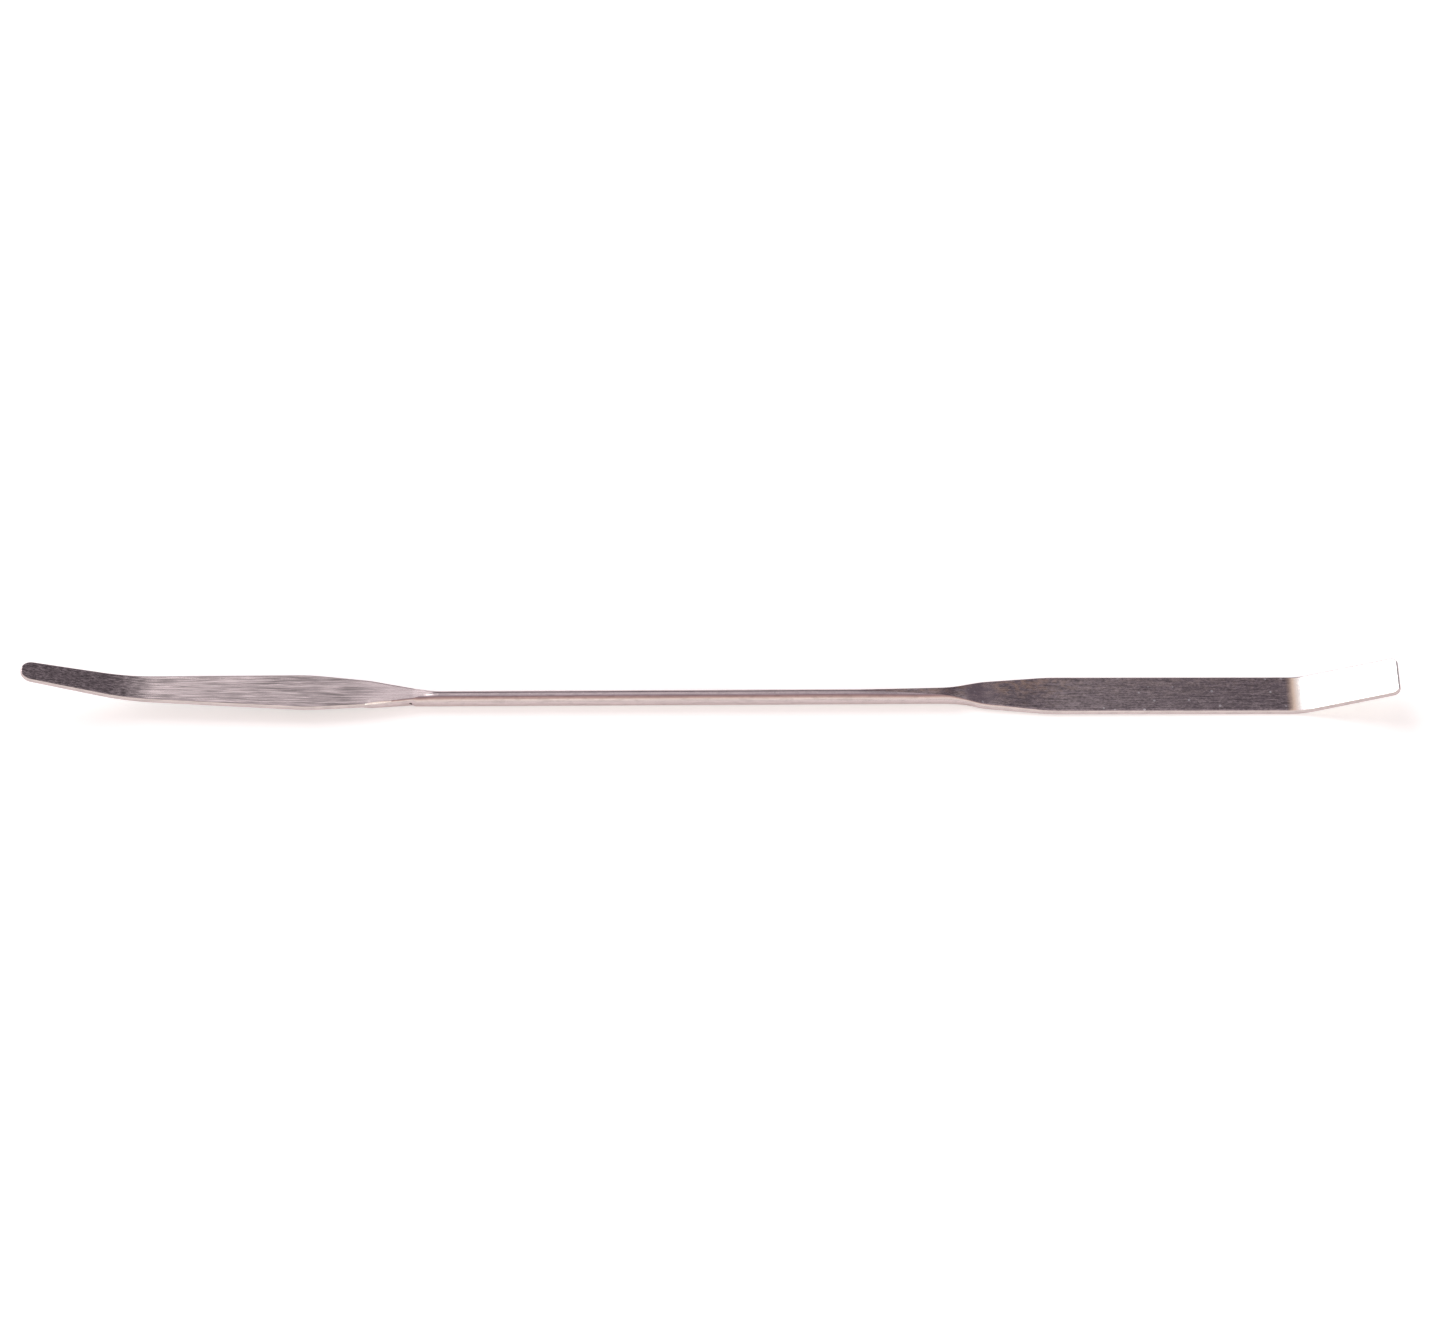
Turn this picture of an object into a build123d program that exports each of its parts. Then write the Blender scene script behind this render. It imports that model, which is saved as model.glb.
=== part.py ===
from build123d import *
import os
from math import cos, radians, sin, tan

# A double-ended micro spatula: one stainless wire, forged flat at both ends and ground.
# The shank in the middle stays round. The blade at +X is parallel, with a square end. The blade
# at -X is widest near the shank and tapers to a round end. Both ends are turned up.
# Frame: millimetres, +Z up. X = 0 is half-way along it, and Y = 0 is the middle of the square blade.
# It lies on Z = 0 on two places, because the wire is bowed a little: on the shank beside the round
# blade, and on the square blade where that turns up.
# Each blade is skinned over outlines that stand across it. Stations along a blade are distances
# back from its own end.

# Whole spatula
OVERALL_LENGTH = 178.0
SHANK_DIAMETER = 2.0
SHANK_SETBACK = 0.55  # the shank's axis lies this far in front (-Y) of the square blade's middle
SHANK_CLIMB = 0.15  # degrees; the bow lifts the shank towards the square blade
EDGE_BULGE = 0.45  # how far a forged edge swells out, as a share of the thickness
THROAT_BULGE = 0.3  # the same where forging starts and the wire is still thick

# Square-ended blade, at +X
SQUARE_WIDTH = 5.1  # flat face, without the swollen edges
SQUARE_THICKNESS = 0.55
SQUARE_FULL = 45.3  # full width from here to the end
SQUARE_KNEE = 53.8  # the outline's kink, where the steep part of the flare ends
SQUARE_KNEE_WIDTH = 3.25
SQUARE_KNEE_THICKNESS = 0.82
SQUARE_NECK = 55.7
SQUARE_NECK_WIDTH = 2.3
SQUARE_NECK_THICKNESS = 1.05
SQUARE_THROAT = 58.2  # forging starts here; before it, the round shank is only ground
SQUARE_THROAT_FACE = (0.38, -0.97)  # back and front edge of the ground face there, as Y
SQUARE_THROAT_GRIND = (0.36, 0.09)  # how far below the crown those two edges lie
SQUARE_THROAT_SWELL = 0.12  # how far the shank's back has swollen there
SQUARE_SCARF = 68.8  # point of the ground flat on the shank
SQUARE_TURN_UP = 13.9  # from the end back to the start of the bend
SQUARE_BEND_ANGLE = 20.0
SQUARE_BEND_RADIUS = 9.0
SQUARE_CORNER = 1.0

# Round-ended blade, at -X
ROUND_WIDTH = 4.9  # flat face at its widest
ROUND_THICKNESS = 0.52
ROUND_WIDEST = 36.8
ROUND_STEP = 43.9  # a small step in the edge, left by the forging die
ROUND_STEP_WIDTH = 3.65
ROUND_STEP_RISE = 0.3  # how much thicker it is behind the step
ROUND_STEP_LENGTH = 1.0
ROUND_THROAT = 50.6  # mark of the die's edge on the shank's underside
ROUND_THROAT_WIDTH = 1.3
ROUND_DIE_MARK = 0.35  # depth of that mark
ROUND_DIE_LENGTH = 0.3
ROUND_SCARF = 52.6
ROUND_FACE_DROP = 0.12  # how far below the shank's crown the ground face starts
ROUND_FACE_SLOPE = 1.5  # the face climbs at this angle towards the end
ROUND_MIDDLE_AT_THROAT = -0.32  # Y of the blade's middle line at its throat
ROUND_MIDDLE_AT_BEND = 0.07
ROUND_TURN_UP = 16.8
ROUND_BEND_WIDTH = 3.5
ROUND_BEND_ANGLE = 15.5
ROUND_BEND_RADIUS = 25.0
ROUND_TIP_WIDTH = 2.45
ROUND_TIP_THICKNESS = 0.45

SHANK_RADIUS = SHANK_DIAMETER / 2
END = OVERALL_LENGTH / 2
FOOT = ROUND_THROAT - END  # X where the shank touches the table
UNDERSIDE = 135.0  # on the shank, degrees from the crown to where a blade's underside begins
BEND_RINGS = 5


def ring(plane, corners, middles):
    """Closed outline of four edges on a plane; an edge without a middle point is straight."""
    edges = []
    for index, middle in enumerate(middles):
        start = plane.from_local_coords(corners[index])
        end = plane.from_local_coords(corners[(index + 1) % len(corners)])
        if middle is None:
            edges.append(Edge.make_line(start, end))
        else:
            edges.append(Edge.make_three_point_arc(start, plane.from_local_coords(middle), end))
    return Wire(edges)


def across(x, z, climb=0.0):
    """Plane across the spatula, seen along +X, where the metal climbs towards +X at this angle."""
    slope = radians(climb)
    return Plane(origin=(x, 0, z), x_dir=(0, 1, 0), z_dir=(cos(slope), 0, sin(slope)))


def across_shank(x):
    """Plane across the shank, level with its axis."""
    return across(x, SHANK_RADIUS + (x - FOOT) * tan(radians(SHANK_CLIMB)), SHANK_CLIMB)


def on_shank(degrees):
    """Point of the shank's outline at an angle from its crown, towards +Y."""
    angle = radians(degrees)
    return (SHANK_RADIUS * sin(angle) - SHANK_SETBACK, SHANK_RADIUS * cos(angle))


def shank_ring(x, back, front):
    """Outline of the round shank, whose top edge lies between two angles from the crown."""
    corners = [on_shank(back), on_shank(front), on_shank(-UNDERSIDE), on_shank(UNDERSIDE)]
    middles = [None, on_shank((front - UNDERSIDE) / 2), on_shank(180), on_shank((back + UNDERSIDE) / 2)]
    return ring(across_shank(x), corners, middles)


def throat_ring(x, back, front, swollen):
    """Round underside of the shank below a ground face that runs from back to front."""
    corners = [back, front, on_shank(-UNDERSIDE), on_shank(UNDERSIDE)]
    return ring(across_shank(x), corners, [None, on_shank(-80), on_shank(180), (swollen, 0)])


def blade_ring(plane, middle, width, thickness, share=EDGE_BULGE):
    """Flat section with swollen edges, its middle level with the plane's origin."""
    back = middle + width / 2
    front = middle - width / 2
    top = thickness / 2
    bulge = share * thickness
    corners = [(back, top), (front, top), (front, -top), (back, -top)]
    middles = [None, (front - bulge, 0), None, (back + bulge, 0)]
    return ring(plane, corners, middles)


def bent(start, way, angle, radius, share):
    """Plane part of the way round a bend upwards; way is +1 or -1 along X, share is 0 to 1."""
    along = start.z_dir * way
    turned = radians(share * angle)
    origin = start.origin + along * (radius * sin(turned)) + start.y_dir * (radius * (1 - cos(turned)))
    heading = along * cos(turned) + start.y_dir * sin(turned)
    return Plane(origin=origin, x_dir=(0, 1, 0), z_dir=heading * way)


def straight_tip_length(last, thickness, way):
    """Length past the bend, so that the lower corner of the end reaches the full length."""
    corner = last.origin - last.y_dir * (thickness / 2)
    return (END - way * corner.X) / last.z_dir.X


def square_blade():
    """Parallel blade at +X, which comes down to the table where it turns up."""
    bend_start = END - SQUARE_TURN_UP
    throat = END - SQUARE_THROAT
    lift = (throat - FOOT) * tan(radians(SHANK_CLIMB))
    fall = lift / (bend_start - throat)

    def station(distance, width, thickness, share=EDGE_BULGE):
        x = END - distance
        return blade_ring(across(x, thickness / 2 + fall * (bend_start - x)), 0.0, width, thickness, share)

    back, front = (
        (y, SHANK_RADIUS - drop) for y, drop in zip(SQUARE_THROAT_FACE, SQUARE_THROAT_GRIND)
    )
    swollen = SHANK_RADIUS - SHANK_SETBACK + SQUARE_THROAT_SWELL
    rings = [
        shank_ring(END - SQUARE_SCARF, 32, 24),
        throat_ring(throat, back, front, swollen),
        station(SQUARE_NECK, SQUARE_NECK_WIDTH, SQUARE_NECK_THICKNESS, THROAT_BULGE),
        station(SQUARE_KNEE, SQUARE_KNEE_WIDTH, SQUARE_KNEE_THICKNESS),
        station(SQUARE_FULL, SQUARE_WIDTH, SQUARE_THICKNESS),
        station(SQUARE_TURN_UP, SQUARE_WIDTH, SQUARE_THICKNESS),
    ]
    body = Solid.make_loft(rings, ruled=True)

    middle_height = SQUARE_THICKNESS / 2
    pivot = Axis((bend_start, 0, middle_height + SQUARE_BEND_RADIUS), (0, -1, 0))
    bend = Solid.revolve(Face(rings[-1]), SQUARE_BEND_ANGLE, pivot)

    last = bent(across(bend_start, middle_height), 1, SQUARE_BEND_ANGLE, SQUARE_BEND_RADIUS, 1.0)
    length = straight_tip_length(last, SQUARE_THICKNESS, 1)
    tip = Solid.extrude(Face(blade_ring(last, 0.0, SQUARE_WIDTH, SQUARE_THICKNESS)), last.z_dir * length)
    outer_width = SQUARE_WIDTH + 2 * EDGE_BULGE * SQUARE_THICKNESS
    outline = Plane(origin=last.origin, x_dir=last.z_dir, z_dir=last.y_dir)
    # Twice the tip's length, so that only the outer pair of corners rounds it.
    trim = outline * extrude(RectangleRounded(2 * length, outer_width, SQUARE_CORNER), outer_width, both=True)
    return [body, bend, tip & trim]


def round_blade():
    """Tapering blade at -X; its face is ground almost level with the shank's crown."""
    throat = ROUND_THROAT - ROUND_DIE_LENGTH
    face_start = SHANK_DIAMETER - ROUND_FACE_DROP
    middle_slope = (ROUND_MIDDLE_AT_BEND - ROUND_MIDDLE_AT_THROAT) / (throat - ROUND_TURN_UP)

    def middle_at(distance):
        return ROUND_MIDDLE_AT_THROAT + middle_slope * (throat - distance)

    def face_at(distance):
        return face_start + (throat - distance) * tan(radians(ROUND_FACE_SLOPE))

    def station(distance, width, thickness, share=EDGE_BULGE, climb=0.0):
        plane = across(distance - END, face_at(distance) - thickness / 2, -climb)
        return blade_ring(plane, middle_at(distance), width, thickness, share)

    behind_step = ROUND_STEP + ROUND_STEP_LENGTH
    flare = (ROUND_STEP_WIDTH - ROUND_THROAT_WIDTH) / (throat - ROUND_STEP)
    throat_thickness = face_start - ROUND_DIE_MARK
    back = ROUND_MIDDLE_AT_THROAT + ROUND_THROAT_WIDTH / 2
    front = ROUND_MIDDLE_AT_THROAT - ROUND_THROAT_WIDTH / 2
    level = face_start - SHANK_RADIUS
    rings = [
        shank_ring(ROUND_SCARF - END, 36, 28),
        throat_ring(FOOT, (back, level), (front, level), back + THROAT_BULGE * throat_thickness),
        station(throat, ROUND_THROAT_WIDTH, throat_thickness, THROAT_BULGE),
        station(behind_step, ROUND_STEP_WIDTH - flare * ROUND_STEP_LENGTH, ROUND_THICKNESS + ROUND_STEP_RISE),
        station(ROUND_STEP, ROUND_STEP_WIDTH, ROUND_THICKNESS),
        station(ROUND_WIDEST, ROUND_WIDTH, ROUND_THICKNESS),
        station(ROUND_TURN_UP, ROUND_BEND_WIDTH, ROUND_THICKNESS, climb=ROUND_FACE_SLOPE),
    ]
    body = Solid.make_loft(rings, ruled=True)

    bend_height = face_at(ROUND_TURN_UP) - ROUND_THICKNESS / 2
    first = across(ROUND_TURN_UP - END, bend_height, -ROUND_FACE_SLOPE)
    last = bent(first, -1, ROUND_BEND_ANGLE, ROUND_BEND_RADIUS, 1.0)
    bend_length = ROUND_BEND_RADIUS * radians(ROUND_BEND_ANGLE)
    tip_length = straight_tip_length(last, ROUND_TIP_THICKNESS, -1)

    def along(length):
        """Middle, width and thickness at a length past the start of the bend."""
        share = length / (bend_length + tip_length)
        width = ROUND_BEND_WIDTH + share * (ROUND_TIP_WIDTH - ROUND_BEND_WIDTH)
        thickness = ROUND_THICKNESS + share * (ROUND_TIP_THICKNESS - ROUND_THICKNESS)
        return ROUND_MIDDLE_AT_BEND + middle_slope * length, width, thickness

    bend_rings = [rings[-1]]
    for index in range(1, BEND_RINGS):
        share = index / (BEND_RINGS - 1)
        plane = bent(first, -1, ROUND_BEND_ANGLE, ROUND_BEND_RADIUS, share)
        bend_rings.append(blade_ring(plane, *along(share * bend_length)))
    bend = Solid.make_loft(bend_rings)

    end_plane = last.offset(-tip_length)
    middle, width, thickness = along(bend_length + tip_length)
    tip = Solid.make_loft([bend_rings[-1], blade_ring(end_plane, middle, width, thickness)], ruled=True)

    # The end is a half circle as wide as the blade, drawn on the plane of the tip.
    end_radius = width / 2 + EDGE_BULGE * thickness
    outline = Plane(origin=end_plane.origin, x_dir=end_plane.z_dir, z_dir=end_plane.y_dir)
    reach = tip_length - end_radius
    half_circle = Pos(end_radius, middle) * Circle(end_radius)
    rest = Pos(end_radius + reach, middle) * Rectangle(2 * reach, 2 * ROUND_WIDTH)
    trim = outline * extrude(half_circle + rest, ROUND_WIDTH, both=True)
    return [body, bend, tip & trim]


def shank():
    """Round wire between the points of the two ground flats."""
    start = across_shank(ROUND_SCARF - END)
    end = across_shank(END - SQUARE_SCARF)
    foot = start.shift_origin(start.from_local_coords((-SHANK_SETBACK, 0)))
    return Solid.make_cylinder(SHANK_RADIUS, (end.origin - start.origin).length, foot)


spatula = Part() + [shank(), *square_blade(), *round_blade()]
spatula.label = "spatula"

os.makedirs("parts", exist_ok=True)
export_step(spatula, "parts/spatula.step")
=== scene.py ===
from math import cos, pi, radians, sin, sqrt, tan

import bmesh
import bpy
from bpy.props import FloatProperty, FloatVectorProperty, PointerProperty
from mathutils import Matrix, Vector, noise
from mathutils.geometry import interpolate_bezier


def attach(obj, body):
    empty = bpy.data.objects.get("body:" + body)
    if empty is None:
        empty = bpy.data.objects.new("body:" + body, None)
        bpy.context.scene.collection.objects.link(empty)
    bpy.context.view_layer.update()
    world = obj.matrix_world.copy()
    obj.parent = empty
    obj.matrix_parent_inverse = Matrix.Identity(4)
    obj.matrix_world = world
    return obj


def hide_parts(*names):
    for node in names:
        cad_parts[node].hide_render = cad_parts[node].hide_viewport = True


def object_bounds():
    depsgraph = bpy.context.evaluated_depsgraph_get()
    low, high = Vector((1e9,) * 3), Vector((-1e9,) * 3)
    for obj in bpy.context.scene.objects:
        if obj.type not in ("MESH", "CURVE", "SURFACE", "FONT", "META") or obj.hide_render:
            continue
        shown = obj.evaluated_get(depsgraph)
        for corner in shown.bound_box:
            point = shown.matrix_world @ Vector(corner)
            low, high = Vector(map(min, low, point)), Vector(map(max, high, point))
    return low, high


bl_info = {
    "name": "Lab Spatula",
    "version": (1, 0, 0),
    "blender": (4, 5, 0),
    "location": "3D View > Sidebar > Spatula",
    "description": "A double-ended micro spatula of forged and ground steel wire, on a white table",
    "category": "Add Mesh",
}

# The spatula lies along X on the table, Z = 0. X = 0 is half-way along it, and Y = 0 is the middle
# of the square-ended blade, at +X. The round-ended blade is at -X. Stations along a blade are
# distances back from that blade's own end.

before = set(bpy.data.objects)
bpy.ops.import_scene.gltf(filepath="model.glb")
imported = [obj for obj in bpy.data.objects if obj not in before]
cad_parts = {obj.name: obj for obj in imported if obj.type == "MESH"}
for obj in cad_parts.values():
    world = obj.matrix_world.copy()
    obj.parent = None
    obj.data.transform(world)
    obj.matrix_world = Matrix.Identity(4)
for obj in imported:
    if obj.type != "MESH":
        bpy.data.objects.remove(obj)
CAD_LOW, CAD_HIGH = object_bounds()

MM = 0.001
PIECE = "spatula_wire"

# Points round a section: along the ground face, down each edge and across the underside.
FACE_POINTS = 10
EDGE_POINTS = 22
UNDER_POINTS = 12

# The shank, as drawn
SHANK_CLIMB = radians(0.15)  # the wire's slight bow lifts it towards the square blade
UNDERSIDE = 135.0  # degrees round the shank from its crown to where a blade's underside begins
FRONT = -80.0  # and to the front of the shank below a blade's throat

# An edge's outline from the ground face down to the underside, in thicknesses: (outwards, upwards).
# The front edges are dressed to a slant, the back edges are as the hammer left them.
DRESSED_EDGE = ((0.0, 0.5), (0.28, 0.16), (0.72, -0.5), (0.1, -0.5))
HAMMERED_EDGE = ((0.0, 0.5), (0.6, 0.5), (0.6, -0.5), (0.0, -0.5))
EDGE_ROUNDING = 0.03 * MM  # on the corner between a ground face and an edge
EDGE_WAVE = 0.012 * MM  # how far the hammered edges wander
EDGE_WAVE_LENGTH = 5.0 * MM
EDGE_RIPPLE = 0.45  # the finer waves, as a share of the long ones
EDGE_RIPPLES = 5  # finer waves to a long one
EDGE_REACH = 1.2 * MM  # how far from the middle of the wire they are at their full height
SCARF_SPARED = (1.0 * MM, 2.0 * MM)  # length of each scarf's thin end whose corners stay sharp

# An end whose corners are rounded off
END_FULLNESS = 0.35  # share of the thickness that is left at the very end
SQUARE_END_ROUNDING = 0.28 * MM
ROUND_END_ROUNDING = 0.2 * MM
ROUND_NOSE_START = radians(4)  # the round end is closed by a small flat, this far round from its tip

# Square-ended blade: (distance from the end, width, thickness, share swollen, share dressed)
SQUARE_NECK = (55.7 * MM, 2.3 * MM, 1.05 * MM, 0.67, 0.4)
SQUARE_KNEE = (53.8 * MM, 3.25 * MM, 0.82 * MM, 1.0, 0.7)
SQUARE_FULL = 45.3 * MM
SQUARE_THROAT = 58.2 * MM
SQUARE_THROAT_FACE = (0.38 * MM, -0.97 * MM)
SQUARE_THROAT_GRIND = (0.36 * MM, 0.09 * MM)
SQUARE_THROAT_SWELL = 0.12 * MM
SQUARE_SCARF = 68.8 * MM
SQUARE_SCARF_ANGLES = (32, 24)

# Round-ended blade
ROUND_WIDEST = 36.8 * MM
ROUND_STEP = (43.9 * MM, 3.65 * MM)
ROUND_STEP_RISE = 0.3 * MM
ROUND_STEP_LENGTH = 1.0 * MM
ROUND_STEP_DRESSED = 0.8
ROUND_THROAT = 50.6 * MM
ROUND_THROAT_WIDTH = 1.3 * MM
ROUND_THROAT_SWELLING = 0.67
ROUND_THROAT_BULGE = 0.3  # how far the back swells where the shank ends, in throat thicknesses
ROUND_DIE_MARK = 0.35 * MM
ROUND_DIE_LENGTH = 0.3 * MM
ROUND_SCARF = 52.9 * MM
ROUND_SCARF_ANGLES = (28.5, 27.5)
ROUND_FACE_DROP = 0.12 * MM
ROUND_FACE_SLOPE = radians(1.5)
ROUND_MIDDLE_AT_THROAT = -0.32 * MM
ROUND_MIDDLE_AT_BEND = 0.07 * MM
ROUND_BEND_WIDTH = 3.5 * MM
ROUND_TIP_THICKNESS = 0.45 * MM

# Burr along the round blade's front edge: where it starts and ends, as X
BURR = (-44.8 * MM, -41.2 * MM)
BURR_INWARDS = 0.05 * MM
BURR_OUTWARDS = 0.01 * MM
BURR_RISE = 0.04 * MM
BURR_FADE = 0.7 * MM
BURR_POINTS = 3  # points of the edge that it takes up

# Bruise on the shank's front, cut by the die's edge
NOTCH = Vector((-38.95, -1.46, 1.18)) * MM
NOTCH_LEAN = radians(-40)
NOTCH_SIZE = Vector((0.17, 0.6, 0.32)) * MM
NOTCH_DEPTH = 0.12 * MM

# Rings along the wire
CORNER_REACH = 1.6 * MM  # how far each side of a station its corner is rounded off
CORNER_SHARE = 0.45  # and the most of a run that this may take up
RING_STEP = 1.0 * MM
LEAST_RINGS = 8  # between two stations
CROWDING = 0.75  # how much closer the rings stand near a station
SQUARE_BEND_RINGS = 12
SQUARE_TIP_RINGS = 9
SQUARE_CORNER_RINGS = 10
ROUND_BEND_RINGS = 20
ROUND_TIP_RINGS = 8
ROUND_NOSE_RINGS = 16

# The wire's materials, by slot
DRAWN, COARSE, FINE, BURR_HIGHLIT = range(4)

# Where a finish, a tint or a painted highlight starts and where it is full, along the wire (X) or across
# it (Y)
# Painted sheen: the round blade's face is lightened towards the throat, standing in for the light it
# reflects there
THROAT_SHEEN = (-47.0 * MM, -41.5 * MM)
STAIN_ALONG = (48.0 * MM, 38.0 * MM)
STAIN_ACROSS = (-0.8 * MM, 2.0 * MM)
# Painted highlight: the square blade's neck is lightened, standing in for the light it reflects
NECK_SHEEN_START = (32.4 * MM, 33.6 * MM)
NECK_SHEEN_END = (38.0 * MM, 36.0 * MM)
# Warm straw tint on the band where the square tip starts to bend, just before its painted highlight
BEND_TINT_ALONG = (74.7 * MM, 75.2 * MM)
# Painted highlight: the square tip is near-white, standing in for the light it reflects
TIP_SHEEN = (75.7 * MM, 76.5 * MM)

# Colours of the steel where it isn't bare and clean, and near-white colours painted on it as highlights
STAIN = (0.78, 0.54, 0.39, 1.0)  # brown, near the square blade's knee
BEND_TINT = (0.98, 0.76, 0.60, 1.0)  # straw-coloured, where the square tip starts to bend
# Painted highlight: near-white, standing in for the light the square tip reflects
TIP_SHEEN_COLOUR = (0.97, 0.93, 0.90, 1.0)  # the square tip beyond that
SPECK = (0.95, 0.90, 0.88, 1.0)
# Painted highlight: near-white colour on the burr, brighter than bare steel
BURR_HIGHLIGHT = (1.0, 0.98, 0.97, 1.0)

# The table, and the white that is seen round it
WHITE = (1.0, 1.0, 1.0, 1.0)
TABLE_RADIUS = 2.5
TABLE_SEGMENTS = 64
TABLE_GAP = 0.01 * MM  # below the spatula
TABLE_WHITE = (0.86, 0.86, 0.86, 1.0)
TABLE_GLOW = 0.38
TABLE_GLOW_IN_MIRROR = 0.28

# The softbox
SOFTBOX_DIRECTION = Vector((-0.55, 0.58, 0.60)).normalized()
SOFTBOX_DISTANCE = 2.0

# The room, from the back horizon (0) over the zenith (0.5) to the front horizon (1)
ROOM = (
    (0.00, (0.26, 0.22, 0.26)),
    (0.06, (0.25, 0.21, 0.25)),
    (0.15, (0.21, 0.18, 0.21)),
    (0.24, (0.11, 0.09, 0.12)),
    (0.34, (0.11, 0.09, 0.12)),
    (0.38, (0.42, 0.38, 0.43)),
    (0.46, (0.46, 0.40, 0.45)),
    (0.52, (0.46, 0.34, 0.36)),
    (0.61, (0.62, 0.47, 0.44)),
    (0.70, (0.85, 0.70, 0.62)),
    (0.745, (1.00, 0.88, 0.80)),
    (0.775, (1.25, 1.15, 1.08)),
    (0.86, (1.25, 1.22, 1.15)),
    (0.94, (1.12, 1.12, 1.08)),
    (1.00, (1.00, 0.98, 0.96)),
)

# The glow behind the spatula: how strong from left (0) to right (1), and over what height
GLOW_ACROSS = (
    (0.40, 1.50), (0.42, 0.72), (0.44, 0.66), (0.52, 0.64), (0.54, 0.10),
    (0.60, 0.04), (0.67, 0.05), (0.74, 0.26),
)
GLOW_UPWARDS = ((0.12, 0.0), (0.19, 0.8), (0.24, 1.0), (0.35, 1.0), (0.40, 0.3), (0.48, 0.0))

# The camera
SENSOR_WIDTH = 36.0  # in millimetres
NEAREST_SEEN = 0.01
FURTHEST_SEEN = 10.0


class SpatulaSizes(bpy.types.PropertyGroup):
    """Main sizes of the spatula."""

    length: FloatProperty(
        name="Overall length", description="From tip to tip",
        default=CAD_HIGH.x - CAD_LOW.x, unit="LENGTH",
    )
    shank_diameter: FloatProperty(
        name="Wire diameter", description="Diameter of the round shank",
        default=2.0 * MM, unit="LENGTH",
    )
    setback: FloatProperty(
        name="Setback", description="How far the shank's axis lies in front of the square blade's middle",
        default=0.55 * MM, unit="LENGTH",
    )
    square_width: FloatProperty(
        name="Square blade width", description="Width of its ground face",
        default=5.1 * MM, unit="LENGTH",
    )
    square_thickness: FloatProperty(
        name="Square blade thickness", description="Thickness of the parallel blade",
        default=0.55 * MM, unit="LENGTH",
    )
    square_turn_up: FloatProperty(
        name="Square tip length", description="From the end back to the start of the bend",
        default=13.9 * MM, unit="LENGTH",
    )
    square_bend: FloatProperty(
        name="Square tip angle", description="How far the square tip is turned up",
        default=radians(20.0), subtype="ANGLE",
    )
    square_radius: FloatProperty(
        name="Square bend radius", description="Radius of the square blade's bend",
        default=9.0 * MM, unit="LENGTH",
    )
    square_corner: FloatProperty(
        name="Square corner radius", description="Radius of the two corners of the square end",
        default=1.0 * MM, unit="LENGTH",
    )
    round_width: FloatProperty(
        name="Round blade width", description="Width of its ground face at the widest place",
        default=4.9 * MM, unit="LENGTH",
    )
    round_thickness: FloatProperty(
        name="Round blade thickness", description="Thickness of the tapering blade",
        default=0.52 * MM, unit="LENGTH",
    )
    round_turn_up: FloatProperty(
        name="Round tip length", description="From the end back to the start of the bend",
        default=16.8 * MM, unit="LENGTH",
    )
    round_bend: FloatProperty(
        name="Round tip angle", description="How far the round tip is turned up",
        default=radians(15.5), subtype="ANGLE",
    )
    round_radius: FloatProperty(
        name="Round bend radius", description="Radius of the round blade's bend",
        default=25.0 * MM, unit="LENGTH",
    )
    round_tip_width: FloatProperty(
        name="Round tip width", description="Width of the ground face where the round end starts",
        default=2.45 * MM, unit="LENGTH",
    )


class SteelFinish(bpy.types.PropertyGroup):
    """Colour and finish of the steel."""

    colour: FloatVectorProperty(
        name="Steel", description="Colour of the bare steel",
        default=(0.60, 0.505, 0.505), subtype="COLOR", min=0.0, max=1.0,
    )
    coarse_roughness: FloatProperty(
        name="Coarse grinding", description="Roughness of the round blade's ground face",
        default=0.25, subtype="FACTOR",
    )
    fine_roughness: FloatProperty(
        name="Fine grinding", description="Roughness of the square blade's ground face",
        default=0.15, subtype="FACTOR",
    )
    shank_roughness: FloatProperty(
        name="Shank polish", description="Roughness of the drawn wire and the hammered edges",
        default=0.11, subtype="FACTOR",
    )


class StageSizes(bpy.types.PropertyGroup):
    """Camera, table and light."""

    elevation: FloatProperty(
        name="Camera elevation", description="Angle of the camera above the table",
        default=radians(55.0), subtype="ANGLE",
    )
    roll: FloatProperty(
        name="Camera roll", description="How far the camera is turned about its own axis",
        default=radians(0.2), subtype="ANGLE",
    )
    distance: FloatProperty(
        name="Camera distance", description="From the camera to the point that it looks at",
        default=560.0 * MM, unit="LENGTH",
    )
    target: FloatVectorProperty(
        name="Looks at", description="Point on the table that the camera is aimed at",
        default=(0.98 * MM, 5.11 * MM, 0.0), subtype="TRANSLATION", unit="LENGTH",
    )
    lens: FloatProperty(
        name="Focal length", description="Focal length of the lens in millimetres",
        default=107.3,
    )
    softbox_power: FloatProperty(
        name="Softbox power", description="Power of the softbox in watts",
        default=16.0,
    )
    softbox_size: FloatProperty(
        name="Softbox size", description="Diameter of the softbox",
        default=1.7, unit="LENGTH",
    )


# ---------------------------------------------------------------- outlines across the wire


def spread(start, end, count):
    """Points on a straight line from start up to, but without, end."""
    return [start.lerp(end, index / count) for index in range(count)]


def arc_through(start, middle, end, count):
    """Points on the circular arc through three points, without the last one."""
    a = middle - start
    b = end - start
    cross = 2 * (a.x * b.y - a.y * b.x)
    offset = Vector((b.y * a.length_squared - a.y * b.length_squared,
                     a.x * b.length_squared - b.x * a.length_squared)) / cross
    centre = start + offset
    arm = start - centre
    turn = (middle - centre).angle_signed(arm) + (end - centre).angle_signed(middle - centre)
    points = []
    for index in range(count):
        angle = turn * index / count
        points.append(centre + Vector((arm.x * cos(angle) - arm.y * sin(angle),
                                       arm.x * sin(angle) + arm.y * cos(angle))))
    return points


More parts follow.
